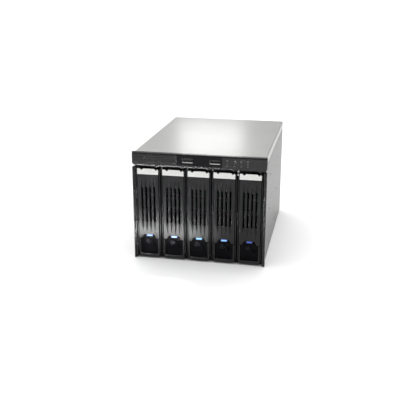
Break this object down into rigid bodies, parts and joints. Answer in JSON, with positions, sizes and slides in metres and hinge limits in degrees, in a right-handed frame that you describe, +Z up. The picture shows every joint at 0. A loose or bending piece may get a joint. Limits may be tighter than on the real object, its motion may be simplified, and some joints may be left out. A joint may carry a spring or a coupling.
{
  "type": "nas enclosure",
  "caption": "Sheet-metal hot-swap drive cage with upright lever-fronted trays, a bar with USB sockets and status lights, a backplane and a rear fan.",
  "frame": {"origin": "under the middle of the cage, on the plane it rests on", "axes": "+X to the right seen from the front, the front faces -Y, +Z up"},
  "size_m": [0.1486, 0.2, 0.124],
  "materials": {
    "sheet_metal": "satin zinc-plated sheet",
    "inner_metal": "satin zinc-plated sheet",
    "bezel_plastic": "fine moulded texture",
    "tray_plastic": "fine moulded texture",
    "lever_plastic": "satin",
    "cap_metal": "polished with a bevelled edge",
    "latch_plastic": "gloss",
    "lock_metal": "black plated",
    "light_pipe_clear": "clear moulding",
    "steel": "bright plated",
    "guide_plastic": "moulded",
    "board_green": "solder mask",
    "connector_black": "moulded",
    "power_white": "moulded nylon",
    "fan_plastic": "moulded",
    "lens_blue": "lit translucent moulding"
  },
  "bodies": {
    "cage": {"chassis": "sheet_metal", "top_cover": "sheet_metal", "front_frame": "bezel_plastic", "top_bezel": "bezel_plastic", "light_pipe": "light_pipe_clear", "usb_socket_left": "steel", "usb_socket_right": "steel", "control_board": "board_green", "top_shelf": "inner_metal", "lower_guide": "guide_plastic", "backplane_pcb": "board_green", "drive_connector_1": "connector_black", "drive_connector_2": "connector_black", "drive_connector_3": "connector_black", "drive_connector_4": "connector_black", "drive_connector_5": "connector_black", "sata_port_block": "connector_black", "power_connector": "power_white", "rear_panel": "sheet_metal", "fan_frame": "fan_plastic", "fan_screw_1": "steel", "fan_screw_2": "steel", "fan_screw_3": "steel", "fan_screw_4": "steel"},
    "fan_rotor": {"fan_rotor": "fan_plastic"},
    "tray_1": {"tray_carrier_1": "tray_plastic", "status_lens_1": "lens_blue", "hinge_pin_1": "steel"},
    "lever_1": {"lever_1": "lever_plastic", "lever_cap_1": "cap_metal"},
    "latch_1": {"latch_1": "latch_plastic"},
    "lock_1": {"lock_1": "lock_metal"},
    "tray_2": {"tray_carrier_2": "tray_plastic", "status_lens_2": "lens_blue", "hinge_pin_2": "steel"},
    "lever_2": {"lever_2": "lever_plastic", "lever_cap_2": "cap_metal"},
    "latch_2": {"latch_2": "latch_plastic"},
    "lock_2": {"lock_2": "lock_metal"},
    "tray_3": {"tray_carrier_3": "tray_plastic", "status_lens_3": "lens_blue", "hinge_pin_3": "steel"},
    "lever_3": {"lever_3": "lever_plastic", "lever_cap_3": "cap_metal"},
    "latch_3": {"latch_3": "latch_plastic"},
    "lock_3": {"lock_3": "lock_metal"},
    "tray_4": {"tray_carrier_4": "tray_plastic", "status_lens_4": "lens_blue", "hinge_pin_4": "steel"},
    "lever_4": {"lever_4": "lever_plastic", "lever_cap_4": "cap_metal"},
    "latch_4": {"latch_4": "latch_plastic"},
    "lock_4": {"lock_4": "lock_metal"},
    "tray_5": {"tray_carrier_5": "tray_plastic", "status_lens_5": "lens_blue", "hinge_pin_5": "steel"},
    "lever_5": {"lever_5": "lever_plastic", "lever_cap_5": "cap_metal"},
    "latch_5": {"latch_5": "latch_plastic"},
    "lock_5": {"lock_5": "lock_metal"}
  },
  "joints": [
    {"name": "fan_spin", "type": "hinge", "parent": "cage", "child": "fan_rotor", "pos_m": [-0.022, 0.0849, 0.0615], "axis": [0, 1, 0], "continuous": true},
    {"name": "tray_1_slide", "type": "slide", "parent": "cage", "child": "tray_1", "axis": [0, -1, 0], "range_m": [0, 0.17]},
    {"name": "lever_1_swing", "type": "hinge", "parent": "tray_1", "child": "lever_1", "pos_m": [-0.0568, -0.0964, 0.1026], "axis": [-1, 0, 0], "range_deg": [0, 60]},
    {"name": "latch_1_press", "type": "slide", "parent": "tray_1", "child": "latch_1", "axis": [0, 1, 0], "range_m": [0, 0.0015], "stiffness_N_per_m": 400, "springref_m": -0.001},
    {"name": "lock_1_turn", "type": "hinge", "parent": "latch_1", "child": "lock_1", "pos_m": [-0.0586, -0.0978, 0.02], "axis": [0, 1, 0], "range_deg": [0, 90]},
    {"name": "tray_2_slide", "type": "slide", "parent": "cage", "child": "tray_2", "axis": [0, -1, 0], "range_m": [0, 0.17]},
    {"name": "lever_2_swing", "type": "hinge", "parent": "tray_2", "child": "lever_2", "pos_m": [-0.0284, -0.0964, 0.1026], "axis": [-1, 0, 0], "range_deg": [0, 60]},
    {"name": "latch_2_press", "type": "slide", "parent": "tray_2", "child": "latch_2", "axis": [0, 1, 0], "range_m": [0, 0.0015], "stiffness_N_per_m": 400, "springref_m": -0.001},
    {"name": "lock_2_turn", "type": "hinge", "parent": "latch_2", "child": "lock_2", "pos_m": [-0.0302, -0.0978, 0.02], "axis": [0, 1, 0], "range_deg": [0, 90]},
    {"name": "tray_3_slide", "type": "slide", "parent": "cage", "child": "tray_3", "axis": [0, -1, 0], "range_m": [0, 0.17]},
    {"name": "lever_3_swing", "type": "hinge", "parent": "tray_3", "child": "lever_3", "pos_m": [0, -0.0964, 0.1026], "axis": [-1, 0, 0], "range_deg": [0, 60]},
    {"name": "latch_3_press", "type": "slide", "parent": "tray_3", "child": "latch_3", "axis": [0, 1, 0], "range_m": [0, 0.0015], "stiffness_N_per_m": 400, "springref_m": -0.001},
    {"name": "lock_3_turn", "type": "hinge", "parent": "latch_3", "child": "lock_3", "pos_m": [-0.0018, -0.0978, 0.02], "axis": [0, 1, 0], "range_deg": [0, 90]},
    {"name": "tray_4_slide", "type": "slide", "parent": "cage", "child": "tray_4", "axis": [0, -1, 0], "range_m": [0, 0.17]},
    {"name": "lever_4_swing", "type": "hinge", "parent": "tray_4", "child": "lever_4", "pos_m": [0.0284, -0.0964, 0.1026], "axis": [-1, 0, 0], "range_deg": [0, 60]},
    {"name": "latch_4_press", "type": "slide", "parent": "tray_4", "child": "latch_4", "axis": [0, 1, 0], "range_m": [0, 0.0015], "stiffness_N_per_m": 400, "springref_m": -0.001},
    {"name": "lock_4_turn", "type": "hinge", "parent": "latch_4", "child": "lock_4", "pos_m": [0.0266, -0.0978, 0.02], "axis": [0, 1, 0], "range_deg": [0, 90]},
    {"name": "tray_5_slide", "type": "slide", "parent": "cage", "child": "tray_5", "axis": [0, -1, 0], "range_m": [0, 0.17]},
    {"name": "lever_5_swing", "type": "hinge", "parent": "tray_5", "child": "lever_5", "pos_m": [0.0568, -0.0964, 0.1026], "axis": [-1, 0, 0], "range_deg": [0, 60]},
    {"name": "latch_5_press", "type": "slide", "parent": "tray_5", "child": "latch_5", "axis": [0, 1, 0], "range_m": [0, 0.0015], "stiffness_N_per_m": 400, "springref_m": -0.001},
    {"name": "lock_5_turn", "type": "hinge", "parent": "latch_5", "child": "lock_5", "pos_m": [0.055, -0.0978, 0.02], "axis": [0, 1, 0], "range_deg": [0, 90]}
  ]
}
